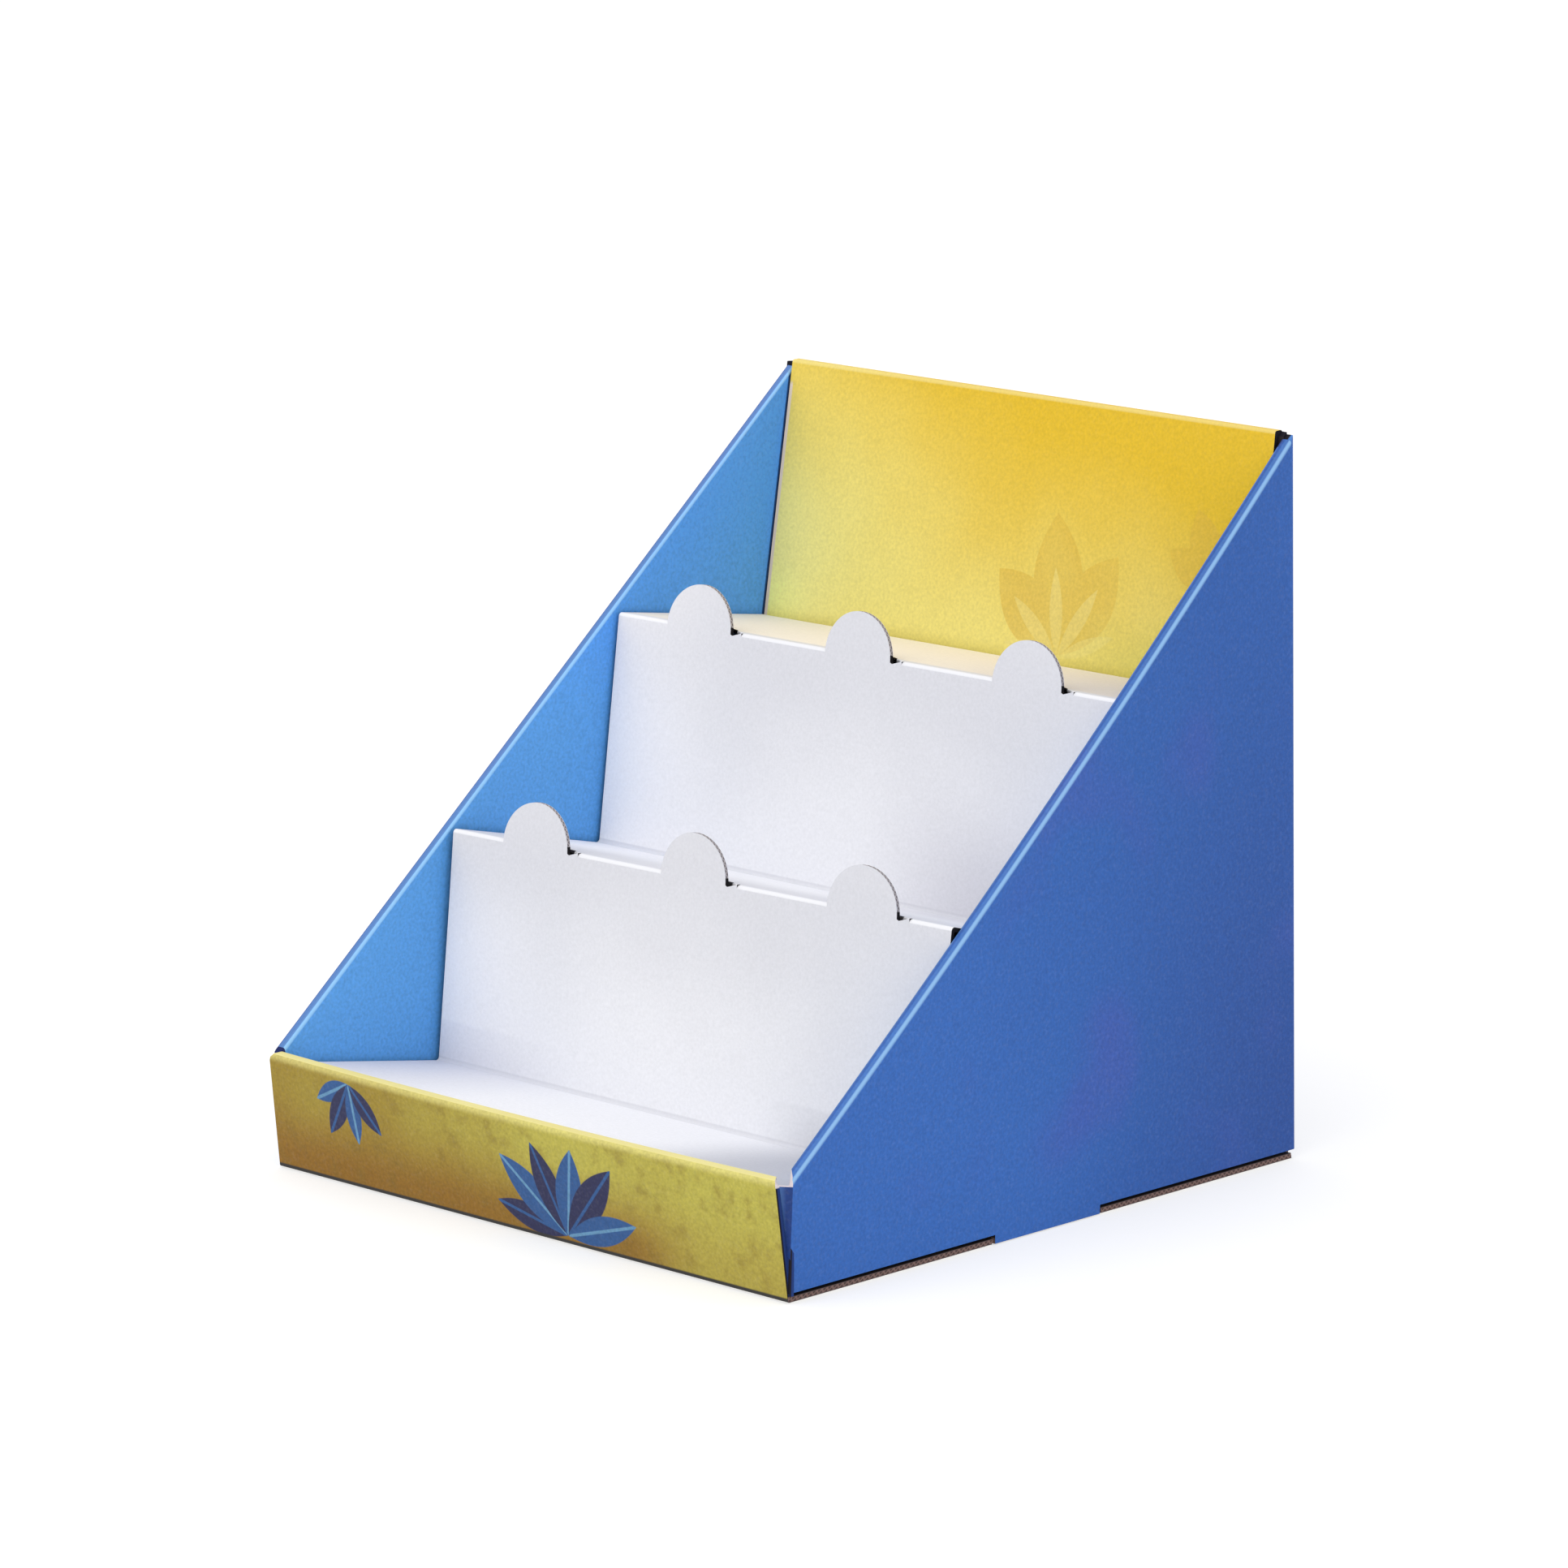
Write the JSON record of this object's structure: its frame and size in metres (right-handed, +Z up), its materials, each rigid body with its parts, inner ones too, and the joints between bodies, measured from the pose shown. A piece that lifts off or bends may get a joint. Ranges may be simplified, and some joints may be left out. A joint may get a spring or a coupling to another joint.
{
  "type": "counter display box",
  "caption": "Open counter display box of printed corrugated card with sloping sides, a low front lip and a stepped white card insert.",
  "frame": {"origin": "centre of the base, on the surface that the box stands on", "axes": "+Z up, +X to the right seen from the front, +Y from the front lip towards the rear wall"},
  "size_m": [0.25, 0.2564, 0.2558],
  "materials": {
    "printed_board": "blue and yellow print under a satin film, on corrugated card",
    "white_board": "white card, matte"
  },
  "bodies": {
    "root": {"display_tray": "printed_board", "stepped_insert": "white_board"}
  },
  "joints": []
}
